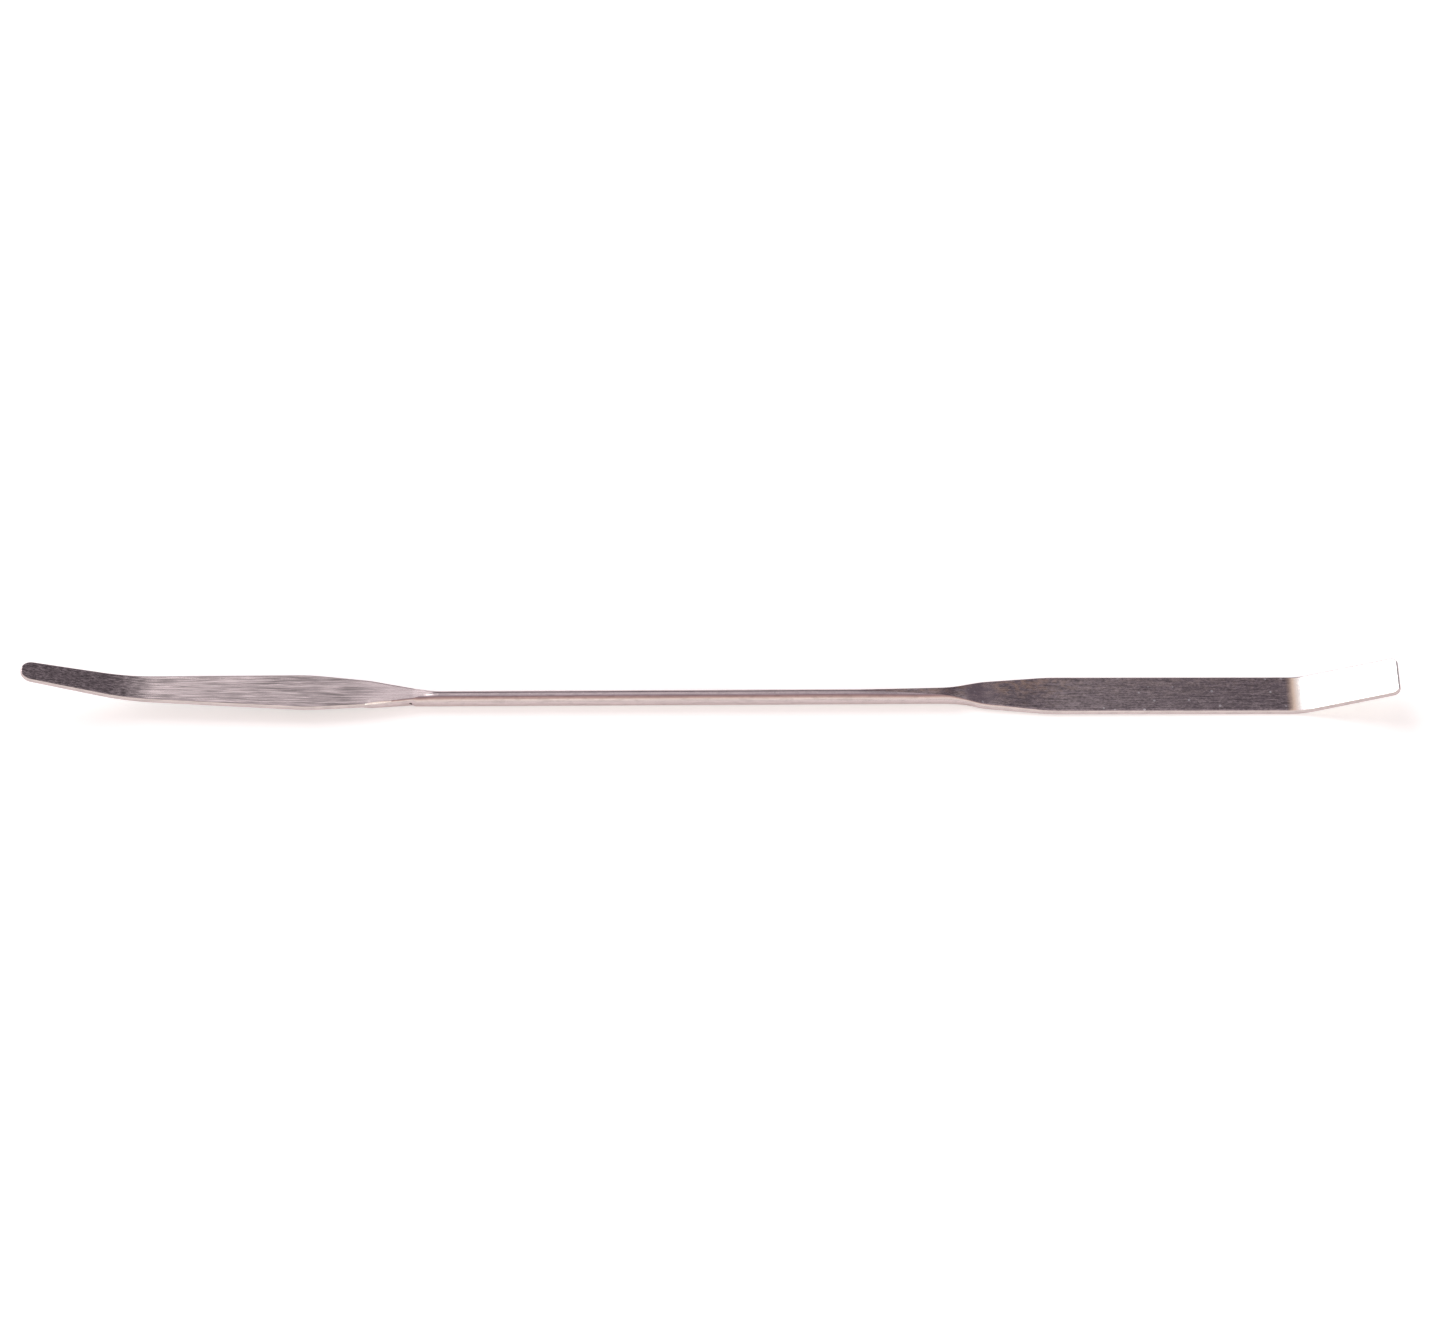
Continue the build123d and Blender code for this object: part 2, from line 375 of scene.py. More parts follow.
def on_shank(sizes, angle_in_degrees):
    """Point of the shank's outline at an angle from its crown, towards +Y."""
    angle = radians(angle_in_degrees)
    radius = sizes.shank_diameter / 2
    return Vector((radius * sin(angle) - sizes.setback, radius * cos(angle)))


def shank_outline(sizes, angles):
    """Round section, with the face's points between two angles from the crown."""
    back, front = angles
    stops = ((back, front, FACE_POINTS), (front, -UNDERSIDE, EDGE_POINTS),
             (-UNDERSIDE, UNDERSIDE - 360, UNDER_POINTS), (UNDERSIDE, back, EDGE_POINTS))
    points = []
    for start, end, count in stops:
        points += [on_shank(sizes, start + (end - start) * index / count) for index in range(count)]
    return points


def throat_outline(sizes, back, front, swollen):
    """Round underside of the shank below a ground face that runs from back to front."""
    low_front = on_shank(sizes, -UNDERSIDE)
    low_back = on_shank(sizes, UNDERSIDE)
    return (
        spread(back, front, FACE_POINTS)
        + arc_through(front, on_shank(sizes, FRONT), low_front, EDGE_POINTS)
        + arc_through(low_front, on_shank(sizes, 180), low_back, UNDER_POINTS)
        + arc_through(low_back, Vector((swollen, 0)), back, EDGE_POINTS)
    )


def edge_profile(controls, count):
    """Points down a blade's edge, in thicknesses, from the face to the underside."""
    corner, upper, lower, foot = (Vector(point) for point in controls)
    return interpolate_bezier(corner, upper, lower, foot, count + 1)


DRESSED_PROFILE = edge_profile(DRESSED_EDGE, EDGE_POINTS)
HAMMERED_PROFILE = edge_profile(HAMMERED_EDGE, EDGE_POINTS)


def blade_outline(middle, width, thickness, swelling=1.0, dressed=1.0):
    """Flat section between two swollen edges, the front one dressed by a share."""
    back = middle + width / 2
    front = middle - width / 2
    out = thickness * swelling
    profile = [a.lerp(b, dressed) for a, b in zip(HAMMERED_PROFILE, DRESSED_PROFILE)]
    front_edge = [Vector((front - p.x * out, p.y * thickness)) for p in profile]
    back_edge = [Vector((back + p.x * out, p.y * thickness)) for p in reversed(HAMMERED_PROFILE)]
    return (
        spread(back_edge[-1], front_edge[0], FACE_POINTS)
        + front_edge[:-1]
        + spread(front_edge[-1], back_edge[0], UNDER_POINTS)
        + back_edge[:-1]
    )


def place(outline, x, z):
    """Outline of (across, up) points as points in space, on an upright plane."""
    return [Vector((x, point.x, z + point.y)) for point in outline]


# ---------------------------------------------------------------- along the wire


def ruled(knots, x):
    """Ring at x on the straight rules between neighbouring knots."""
    for (start, start_ring), (end, end_ring) in zip(knots, knots[1:]):
        if x <= end:
            break
    share = (x - start) / (end - start)
    return [a.lerp(b, share) for a, b in zip(start_ring, end_ring)]


def softened(knots, x):
    """Ring at x, with the corner at each inner knot rounded off."""
    for index in range(1, len(knots) - 1):
        place_x = knots[index][0]
        room = min(place_x - knots[index - 1][0], knots[index + 1][0] - place_x)
        reach = min(CORNER_REACH, CORNER_SHARE * room)
        if abs(x - place_x) < reach:
            before = ruled(knots, place_x - reach)
            after = ruled(knots, place_x + reach)
            share = (x - place_x + reach) / (2 * reach)
            corner = knots[index][1]
            return [
                a.lerp(b, share).lerp(b.lerp(c, share), share)
                for a, b, c in zip(before, corner, after)
            ]
    return ruled(knots, x)


def stations_between(knots, step):
    """Places along X for the rings: fine near each knot, coarser on the long runs."""
    places = []
    for (start, _), (end, _) in zip(knots, knots[1:]):
        count = max(LEAST_RINGS, round((end - start) / step))
        for index in range(count):
            share = index / count
            crowded = share - sin(2 * pi * share) / (2 * pi) * CROWDING
            places.append(start + (end - start) * crowded)
    places.append(knots[-1][0])
    return places


class Bend:
    """The middle line of a turned-up tip, as the length along it from where it starts to bend."""

    def __init__(self, start, heading, radius, angle, way):
        self.start = start
        self.heading = heading
        self.radius = radius
        self.angle = angle
        self.way = way
        self.arc = radius * angle

    def at(self, length):
        """Point (x, z) and heading above the table at a length along the tip."""
        turned = min(length, self.arc) / self.radius
        rest = max(length - self.arc, 0.0)
        first, last = self.heading, self.heading + turned
        run = self.radius * (sin(last) - sin(first)) + rest * cos(last)
        rise = self.radius * (cos(first) - cos(last)) + rest * sin(last)
        return self.start + Vector((self.way * run, rise)), last

    def tip_length(self, end, thickness):
        """Length at which the lower corner of a square-cut end reaches X = end."""
        point, heading = self.at(self.arc)
        corner = point.x + self.way * sin(heading) * thickness / 2
        return self.arc + abs(end - corner) / cos(heading)

    def ring(self, length, outline):
        """An outline stood across the tip at a length."""
        point, heading = self.at(length)
        up = Vector((-self.way * sin(heading), cos(heading)))
        return [Vector((point.x + p.y * up.x, p.x, point.y + p.y * up.y)) for p in outline]


def end_fullness(left, rounding):
    """Share of the full thickness this near to an end whose corners are rounded."""
    if left >= rounding:
        return 1.0
    return END_FULLNESS + (1 - END_FULLNESS) * sqrt(1 - (1 - left / rounding) ** 2)


def rounded_end(outline, middle, half_width, limit, thickness, end_thickness):
    """The outline narrowed to a half width, and thinned to an end thickness."""
    squeeze = min(1.0, limit / half_width)
    thin = end_thickness / thickness
    return [Vector((middle + (p.x - middle) * squeeze, p.y * thin)) for p in outline]


def square_blade_rings(sizes):
    """Knots of the straight part and finished rings of the turned-up tip, at +X."""
    end = sizes.length / 2
    foot = ROUND_THROAT - end
    radius = sizes.shank_diameter / 2
    bend_start = end - sizes.square_turn_up
    throat = end - SQUARE_THROAT
    fall = (throat - foot) * tan(SHANK_CLIMB) / (bend_start - throat)

    def station(distance, width, thickness, swelling=1.0, dressed=1.0):
        x = end - distance
        height = thickness / 2 + fall * (bend_start - x)
        return x, place(blade_outline(0.0, width, thickness, swelling, dressed), x, height)

    def axis_height(x):
        return radius + (x - foot) * tan(SHANK_CLIMB)

    back, front = (
        Vector((y, radius - drop)) for y, drop in zip(SQUARE_THROAT_FACE, SQUARE_THROAT_GRIND)
    )
    swollen = radius - sizes.setback + SQUARE_THROAT_SWELL
    scarf = end - SQUARE_SCARF
    width, thickness = sizes.square_width, sizes.square_thickness
    knots = [
        (scarf, place(shank_outline(sizes, SQUARE_SCARF_ANGLES), scarf, axis_height(scarf))),
        (throat, place(throat_outline(sizes, back, front, swollen), throat, axis_height(throat))),
        station(*SQUARE_NECK),
        station(*SQUARE_KNEE),
        station(SQUARE_FULL, width, thickness),
        station(sizes.square_turn_up, width, thickness),
    ]

    bend = Bend(Vector((bend_start, thickness / 2)), 0.0, sizes.square_radius, sizes.square_bend, 1)
    full = bend.tip_length(end, thickness)
    outline = blade_outline(0.0, width, thickness)
    half_width = max(abs(point.x) for point in outline)
    corner = sizes.square_corner
    rings = []
    for index in range(1, SQUARE_BEND_RINGS + 1):
        rings.append(bend.ring(bend.arc * index / SQUARE_BEND_RINGS, outline))
    for index in range(1, SQUARE_TIP_RINGS):
        length = bend.arc + (full - corner - bend.arc) * index / SQUARE_TIP_RINGS
        rings.append(bend.ring(length, outline))
    for index in range(SQUARE_CORNER_RINGS + 1):
        angle = pi / 2 * index / SQUARE_CORNER_RINGS
        limit = half_width - corner * (1 - cos(angle))
        left = corner * (1 - sin(angle))
        end_thickness = thickness * end_fullness(left, SQUARE_END_ROUNDING)
        narrowed = rounded_end(outline, 0.0, half_width, limit, thickness, end_thickness)
        rings.append(bend.ring(full - left, narrowed))
    return knots, rings


def round_blade_rings(sizes):
    """Knots of the straight part, from the bend to the shank, and rings of the tip, at -X."""
    end = sizes.length / 2
    radius = sizes.shank_diameter / 2
    throat = ROUND_THROAT - ROUND_DIE_LENGTH
    face_start = sizes.shank_diameter - ROUND_FACE_DROP
    turn_up = sizes.round_turn_up
    middle_slope = (ROUND_MIDDLE_AT_BEND - ROUND_MIDDLE_AT_THROAT) / (throat - turn_up)

    def face_at(distance):
        return face_start + (throat - distance) * tan(ROUND_FACE_SLOPE)

    def station(distance, width, thickness, swelling=1.0, dressed=1.0):
        middle = ROUND_MIDDLE_AT_THROAT + middle_slope * (throat - distance)
        x = distance - end
        height = face_at(distance) - thickness / 2
        return x, place(blade_outline(middle, width, thickness, swelling, dressed), x, height)

    step, step_width = ROUND_STEP
    flare = (step_width - ROUND_THROAT_WIDTH) / (throat - step)
    throat_thickness = face_start - ROUND_DIE_MARK
    back = ROUND_MIDDLE_AT_THROAT + ROUND_THROAT_WIDTH / 2
    front = ROUND_MIDDLE_AT_THROAT - ROUND_THROAT_WIDTH / 2
    level = face_start - radius
    foot = ROUND_THROAT - end
    scarf = ROUND_SCARF - end
    scarf_height = radius + (scarf - foot) * tan(SHANK_CLIMB)
    thickness = sizes.round_thickness
    knots = [
        station(turn_up, ROUND_BEND_WIDTH, thickness),
        station(ROUND_WIDEST, sizes.round_width, thickness),
        station(step, step_width, thickness),
        station(step + ROUND_STEP_LENGTH, step_width - flare * ROUND_STEP_LENGTH,
                thickness + ROUND_STEP_RISE, dressed=ROUND_STEP_DRESSED),
        station(throat, ROUND_THROAT_WIDTH, throat_thickness,
                swelling=ROUND_THROAT_SWELLING, dressed=0.0),
        (foot, place(throat_outline(sizes, Vector((back, level)), Vector((front, level)),
                                    back + ROUND_THROAT_BULGE * throat_thickness), foot, radius)),
        (scarf, place(shank_outline(sizes, ROUND_SCARF_ANGLES), scarf, scarf_height)),
    ]

    start = Vector((turn_up - end, face_at(turn_up) - thickness / 2))
    bend = Bend(start, ROUND_FACE_SLOPE, sizes.round_radius, sizes.round_bend, -1)
    full = bend.tip_length(-end, ROUND_TIP_THICKNESS)
    rings = []

    def tip_outline(length):
        share = length / full
        middle = ROUND_MIDDLE_AT_BEND + middle_slope * length
        width = ROUND_BEND_WIDTH + share * (sizes.round_tip_width - ROUND_BEND_WIDTH)
        thick = thickness + share * (ROUND_TIP_THICKNESS - thickness)
        return middle, thick, blade_outline(middle, width, thick)

    middle, thick, outline = tip_outline(full)
    nose = max(point.x for point in outline) - middle
    for index in range(ROUND_NOSE_RINGS + 1):
        angle = ROUND_NOSE_START + (pi / 2 - ROUND_NOSE_START) * index / ROUND_NOSE_RINGS
        left = nose * (1 - cos(angle))
        length = full - left
        middle, thick, outline = tip_outline(length)
        half_width = max(point.x for point in outline) - middle
        limit = half_width * sin(angle)
        end_thickness = thick * end_fullness(left, ROUND_END_ROUNDING)
        narrowed = rounded_end(outline, middle, half_width, limit, thick, end_thickness)
        rings.append(bend.ring(length, narrowed))
    straight = full - nose - bend.arc
    lengths = [bend.arc + straight * (1 - index / ROUND_TIP_RINGS)
               for index in range(1, ROUND_TIP_RINGS)]
    lengths += [bend.arc * (1 - index / ROUND_BEND_RINGS) for index in range(ROUND_BEND_RINGS)]
    rings += [bend.ring(length, tip_outline(length)[2]) for length in lengths]
    return knots, rings


def wander(point, column):
    """A hammered edge is never quite straight: the small error of its line at a point."""
    underside = FACE_POINTS + EDGE_POINTS
    if underside <= column <= underside + UNDER_POINTS:
        return point
    side = 1.0 if point.y > 0 else -1.0
    waves = point.x / EDGE_WAVE_LENGTH
    drift = noise.noise(Vector((waves, side * 7.3, 0.4)))
    fine = noise.noise(Vector((waves * EDGE_RIPPLES, side * 3.1, 2.2)))
    share = min(1.0, abs(point.y) / EDGE_REACH)
    return point + Vector((0, side * EDGE_WAVE * (drift + EDGE_RIPPLE * fine) * share, 0))


def eased(share):
    """A share kept between 0 and 1, slow at both ends."""
    share = max(0.0, min(1.0, share))
    return share * share * (3 - 2 * share)


def burr(ring):
    """A ring with its face's front corner turned over into a narrow burr near the throat; its brightness
    is a painted highlight in its own material.
    """
    start, end = BURR
    x = ring[0].x
    if not start < x < end:
        return ring
    share = eased((x - start) / BURR_FADE) * eased((end - x) / BURR_FADE)
    top = ring[FACE_POINTS] + Vector((0, BURR_INWARDS, BURR_RISE)) * share
    foot = ring[FACE_POINTS + BURR_POINTS] + Vector((0, -BURR_OUTWARDS, 0)) * share
    turned = list(ring)
    for index in range(BURR_POINTS + 1):
        flat = top.lerp(foot, index / BURR_POINTS)
        turned[FACE_POINTS + index] = ring[FACE_POINTS + index].lerp(flat, share)
    return turned


def notch(point, column):
    """The bruise that the die's edge left low on the front of the shank."""
    if not FACE_POINTS < column < FACE_POINTS + EDGE_POINTS:
        return point
    away = point - NOTCH
    along = away.x * cos(NOTCH_LEAN) - away.z * sin(NOTCH_LEAN)
    down = away.x * sin(NOTCH_LEAN) + away.z * cos(NOTCH_LEAN)
    near = 1 - Vector((along / NOTCH_SIZE.x, away.y / NOTCH_SIZE.y, down / NOTCH_SIZE.z)).length
    return point + Vector((0, NOTCH_DEPTH * eased(near * 1.5), 0))


def wire_rings(sizes):
    """All rings from the round tip to the square tip."""
    round_knots, round_tip = round_blade_rings(sizes)
    square_knots, square_tip = square_blade_rings(sizes)
    knots = round_knots + square_knots
    rings = list(round_tip)
    rings += [softened(knots, x) for x in stations_between(knots, RING_STEP)]
    rings += square_tip
    rings = [burr(ring) for ring in rings]
    return [
        [notch(wander(point, column), column) for column, point in enumerate(ring)] for ring in rings
    ]


# ---------------------------------------------------------------- the mesh


def forge(bm, rings):
    """Draws one loop of wire from ring to ring and closes both ends."""
    around = bm.verts.layers.int.new("around")
    loop = bmesh.ops.create_circle(bm, cap_ends=False, radius=MM, segments=len(rings[0]))["verts"]
    for column, vert in enumerate(loop):
        vert[around] = column
        vert.co = rings[0][column]
    edges = list(bm.edges)
    bmesh.ops.contextual_create(bm, geom=edges)
    for ring in rings[1:]:
        made = bmesh.ops.extrude_edge_only(bm, edges=edges)["geom"]
        verts = [item for item in made if isinstance(item, bmesh.types.BMVert)]
        new = set(verts)
        edges = [
            item for item in made
            if isinstance(item, bmesh.types.BMEdge) and item.verts[0] in new and item.verts[1] in new
        ]
        for vert in verts:
            vert.co = ring[vert[around]]
    bmesh.ops.contextual_create(bm, geom=edges)
    bmesh.ops.recalc_face_normals(bm, faces=bm.faces)
    return around


def face_corner_edges(bm, around, low, high):
    """Lengthwise edges where a ground face meets the sides of the wire, outside low to high."""
    found = []
    for edge in bm.edges:
        columns = {vert[around] for vert in edge.verts}
        if len(columns) != 1 or not columns & {0, FACE_POINTS}:
            continue
        if all(vert.co.x < low for vert in edge.verts) or all(vert.co.x > high for vert in edge.verts):
            found.append(edge)
    return found


def build_wire(sizes):
    """The spatula's mesh, with its ground faces and its burr in their own material slots."""
    end = sizes.length / 2
    low = ROUND_SCARF - end
    high = end - SQUARE_SCARF
    under = FACE_POINTS + EDGE_POINTS
    bm = bmesh.new()
    around = forge(bm, wire_rings(sizes))
    for face in bm.faces:
        face.smooth = True
        if len(face.verts) > 4:  # the two ends
            for edge in face.edges:
                edge.smooth = False
        columns = [vert[around] for vert in face.verts]
        centre = face.calc_center_median().x
        on_face = max(columns) <= FACE_POINTS
        below = min(columns) >= under and max(columns) <= under + UNDER_POINTS
        on_burr = max(columns) <= FACE_POINTS + BURR_POINTS and BURR[0] < centre < BURR[1]
        # The burr's faces get the material with the painted highlight
        if on_burr and not on_face:
            face.material_index = BURR_HIGHLIT
        if not (on_face or below):
            continue
        if centre < (low if on_face else ROUND_THROAT - end):
            face.material_index = COARSE
        elif centre > (high if on_face else end - SQUARE_NECK[0]):
            face.material_index = FINE
    edges = face_corner_edges(bm, around, low - SCARF_SPARED[0], high + SCARF_SPARED[1])
    bmesh.ops.bevel(
        bm, geom=edges, offset=EDGE_ROUNDING, offset_type="OFFSET", segments=2, profile=0.5,
        affect="EDGES", clamp_overlap=True, material=-1,
    )
    mesh = bpy.data.meshes.new(PIECE)
    bm.to_mesh(mesh)
    bm.free()
    return mesh


# ---------------------------------------------------------------- materials


class Nodes:
    """The nodes of a material or of the world, built one after another."""

    def __init__(self, tree):
        self.tree = tree
        self.tree.nodes.clear()

    def add(self, kind, values=None, **settings):
        """A node with its settings, and constants or links for its inputs by name or number."""
        node = self.tree.nodes.new(kind)
        for name, value in settings.items():
            setattr(node, name, value)
        for name, value in (values or {}).items():
            if isinstance(value, bpy.types.NodeSocket):
                self.tree.links.new(value, node.inputs[name])
            else:
                node.inputs[name].default_value = value
        return node

    def point(self):
        """The point of the wire that is being coloured."""
        return self.add("ShaderNodeTexCoord").outputs["Object"]

    def place(self, axis):
        """How far along (X), across (Y) or up (Z) that point is."""
        return self.add("ShaderNodeSeparateXYZ", {0: self.point()}).outputs[axis]

    def streaks(self, scale, turn=0.0, detail=1.0, distortion=0.0):
        """Noise drawn out by a scale along X, Y and Z, in cycles to the metre."""
        turned = self.add("ShaderNodeMapping", {"Vector": self.point(), "Rotation": (0, 0, turn)})
        mapped = self.add("ShaderNodeMapping", {"Vector": turned.outputs[0], "Scale": scale})
        texture = self.add(
            "ShaderNodeTexNoise",
            {"Vector": mapped.outputs[0], "Scale": 1.0, "Detail": detail, "Roughness": 0.6,
             "Distortion": distortion},
        )
        return texture.outputs["Fac"]

    def spots(self, scale, size):
        """Small round spots, 1 inside and 0 outside, on random cells."""
        cells = self.add(
            "ShaderNodeTexVoronoi", {"Vector": self.point(), "Scale": scale, "Randomness": 1.0},
        )
        return self.remap(cells.outputs["Distance"], size, size * 0.5, 0.0, 1.0)

    def notch_shade(self):
        """1 in the notch low on the front of the shank, where shade is painted, and 0 outside."""
        near = self.add(
            "ShaderNodeMapping",
            {"Vector": self.point(), "Location": NOTCH, "Rotation": (0, NOTCH_LEAN, 0),
             "Scale": NOTCH_SIZE},
            vector_type="TEXTURE",
        )
        length = self.add("ShaderNodeVectorMath", {0: near.outputs[0]}, operation="LENGTH")
        return self.remap(length.outputs["Value"], 1.0, 0.6, 0.0, 1.0)

    def remap(self, value, low, high, to_low, to_high):
        """A value moved from one range to another, and kept inside it."""
        limits = {0: value, 1: low, 2: high, 3: to_low, 4: to_high}
        return self.add("ShaderNodeMapRange", limits, clamp=True).outputs[0]

    def ramp(self, value, stops):
        """The colour for a value, from (position, colour) stops."""
        node = self.add("ShaderNodeValToRGB", {"Fac": value})
        elements = node.color_ramp.elements
        for element, (position, colour) in zip(elements, (stops[0], stops[-1])):
            element.position = position
            element.color = colour + (1.0,)
        for position, colour in stops[1:-1]:
            elements.new(position).color = colour + (1.0,)
        return node.outputs["Color"]

    def math(self, operation, first, second):
        """One sum of two values."""
        return self.add("ShaderNodeMath", {0: first, 1: second}, operation=operation).outputs[0]

    def mix(self, factor, first, second, blend="MIX"):
        """Two colours mixed by a factor."""
        node = self.add(
            "ShaderNodeMix", {"Factor": factor, 6: first, 7: second}, data_type="RGBA", blend_type=blend,
        )
        return node.outputs[2]


def shade(colour, factor):
    """A colour made lighter or darker, as a node's four numbers."""
    return tuple(min(1.0, part * factor) for part in colour) + (1.0,)


def finish_steel(nodes, colour, roughness, height, depth, anisotropy):
    """Ends a steel material: bare metal, with its relief to a depth and with lengthwise grain."""
    bump = nodes.add("ShaderNodeBump", {"Strength": 1.0, "Distance": depth, "Height": height})
    grain = nodes.add("ShaderNodeCombineXYZ", {"X": 1.0})
    surface = nodes.add(
        "ShaderNodeBsdfPrincipled",
        {"Base Color": colour, "Metallic": 1.0, "Roughness": roughness, "Anisotropic": anisotropy,
         "Normal": bump.outputs[0], "Tangent": grain.outputs[0]},
    )
    nodes.add("ShaderNodeOutputMaterial", {"Surface": surface.outputs[0]})


def new_material(name):
    """An empty node material."""
    material = bpy.data.materials.new(name)
    material.use_nodes = True
    return material, Nodes(material.node_tree)


def coarse_ground_steel(steel):
    """The round blade's face: strong lengthwise grinding scratches, and a painted sheen that lightens it
    near the throat.
    """
    material, nodes = new_material("coarse_ground_steel")
    broad = nodes.streaks((120, 6200, 6200), turn=radians(-0.5))
    fine = nodes.streaks((220, 11000, 11000), turn=radians(0.6))
    scratch = nodes.math("ADD", nodes.math("MULTIPLY", broad, 0.5), nodes.math("MULTIPLY", fine, 0.5))
    ground = nodes.mix(
        nodes.remap(scratch, 0.36, 0.64, 0.0, 1.0), shade(steel.colour, 0.32), shade(steel.colour, 0.96),
    )
    # Painted sheen: lighter colour towards the throat, standing in for a brighter reflection
    throat_sheen = nodes.remap(nodes.place("X"), *THROAT_SHEEN, 0.0, 0.75)
    colour = nodes.mix(throat_sheen, ground, shade(steel.colour, 1.12))
    rough = nodes.remap(broad, 0.3, 0.7, steel.coarse_roughness - 0.04, steel.coarse_roughness + 0.04)
    finish_steel(nodes, colour, rough, scratch, 0.003 * MM, 0.5)
    return material


def fine_ground_steel(steel):
    """The square blade's face: fine lines, brown stains, bright specks, a painted highlight towards the
    shank, a warm tint where the tip bends and a painted highlight on the tip.
    """
    material, nodes = new_material("fine_ground_steel")
    fine = nodes.streaks((330, 6400, 6400), turn=radians(0.4))
    grain = nodes.streaks((2400, 4800, 4800))
    cloud = nodes.streaks((900, 1500, 1500), detail=2.0, distortion=0.4)
    relief = nodes.math("ADD", nodes.math("MULTIPLY", fine, 0.5), nodes.math("MULTIPLY", grain, 0.5))
    lines = nodes.mix(
        nodes.remap(relief, 0.36, 0.64, 0.0, 1.0), shade(steel.colour, 0.46), shade(steel.colour, 1.12),
    )
    knee = nodes.remap(nodes.place("X"), *STAIN_ALONG, 0.12, 1.0)
    back = nodes.remap(nodes.place("Y"), *STAIN_ACROSS, 0.15, 1.0)
    where = nodes.math("MULTIPLY", knee, back)
    stain = nodes.math("MULTIPLY", nodes.remap(cloud, 0.40, 0.62, 0.0, 0.9), where)
    stained = nodes.mix(stain, lines, STAIN)
    # Painted highlight: the neck's colour is lightened to stand in for the light it reflects; the result
    # below is the stained face with this painted highlight, not a dressed finish
    neck = nodes.math(
        "MULTIPLY",
        nodes.remap(nodes.place("X"), *NECK_SHEEN_START, 0.0, 0.6),
        nodes.remap(nodes.place("X"), *NECK_SHEEN_END, 0.0, 1.0),
    )
    dressed = nodes.mix(neck, stained, shade(steel.colour, 1.25))
    # Warm straw tint on the band where the square tip starts to bend
    bend_tint = nodes.remap(nodes.place("X"), *BEND_TINT_ALONG, 0.0, 0.85)
    bend_tinted = nodes.mix(bend_tint, dressed, BEND_TINT)
    # Painted highlight: the square tip beyond the bend is near-white, standing in for the light it
    # reflects
    bend = nodes.remap(nodes.place("X"), *TIP_SHEEN, 0.0, 0.95)
    tip_sheened = nodes.mix(bend, bend_tinted, TIP_SHEEN_COLOUR)
    specks = nodes.spots(620, 0.14)
    colour = nodes.mix(specks, tip_sheened, SPECK)
    rough = nodes.remap(cloud, 0.3, 0.7, steel.fine_roughness - 0.03, steel.fine_roughness + 0.05)
    finish_steel(nodes, colour, rough, relief, 0.0035 * MM, 0.5)
    return material


def burr_highlight_steel(steel):
    """The burr on the round blade: a real turned-over edge with a painted highlight of near-white colour,
    broken up along its length.
    """
    material, nodes = new_material("burr_highlight_steel")
    breaks = nodes.streaks((1600, 1600, 1600))
    colour = nodes.mix(
        nodes.remap(breaks, 0.30, 0.50, 0.0, 1.0), shade(steel.colour, 1.40), BURR_HIGHLIGHT,
    )
    rough = nodes.remap(breaks, 0.35, 0.65, 0.30, 0.18)
    finish_steel(nodes, colour, rough, breaks, 0.004 * MM, 0.2)
    return material


def drawn_steel(steel):
    """The shank and the edges: drawn wire, polished by use, with nicks, slanting scratches and painted
    shade in the notch.
    """
    material, nodes = new_material("drawn_steel")
    lines = nodes.streaks((120, 7000, 7000), detail=2.0)
    slants = nodes.streaks((900, 6500, 2500), turn=radians(52), detail=2.0)
    mottle = nodes.streaks((700, 2600, 2600), detail=2.0)
    nicks = nodes.spots(900, 0.14)
    wire = nodes.mix(
        nodes.remap(lines, 0.35, 0.65, 0.0, 1.0), shade(steel.colour, 0.92), shade(steel.colour, 1.08),
    )
    dulled = nodes.mix(nodes.remap(mottle, 0.48, 0.66, 0.0, 0.45), wire, shade(steel.colour, 0.74))
    # Painted shade: the notch is darkened nearly to black, standing in for the shade in it
    colour = nodes.mix(nodes.notch_shade(), dulled, shade(steel.colour, 0.16))
    rough = nodes.remap(slants, 0.45, 0.75, steel.shank_roughness, steel.shank_roughness + 0.14)
    height = nodes.math(
        "SUBTRACT", nodes.math("MULTIPLY", slants, 0.5), nodes.math("MULTIPLY", nicks, 0.8),
    )
    finish_steel(nodes, colour, rough, height, 0.004 * MM, 0.3)
    return material


# ---------------------------------------------------------------- operators


class SPATULA_OT_wire(bpy.types.Operator):
    """Forge the spatula from one wire and give it its ground and polished finishes"""

    bl_idname = "spatula.make_wire"
    bl_label = "Make the spatula"
    bl_options = {"REGISTER", "UNDO"}

    def execute(self, context):
        steel = context.scene.spatula_steel
        wire = bpy.data.objects.new(PIECE, build_wire(context.scene.spatula_sizes))
        context.collection.objects.link(wire)
        for make in (drawn_steel, coarse_ground_steel, fine_ground_steel, burr_highlight_steel):
            wire.data.materials.append(make(steel))
        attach(wire, "root")
        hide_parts("spatula")
        return {"FINISHED"}


def table_glow(nodes):
    """How much brighter the table looks than its light: most to the camera, less in a mirror."""
    path = nodes.add("ShaderNodeLightPath")
    mirrored = nodes.math("MAXIMUM", path.outputs["Is Glossy Ray"], path.outputs["Is Transmission Ray"])
    direct = nodes.math("MULTIPLY", path.outputs["Is Camera Ray"], TABLE_GLOW)
    return nodes.math("MAXIMUM", direct, nodes.math("MULTIPLY", mirrored, TABLE_GLOW_IN_MIRROR))


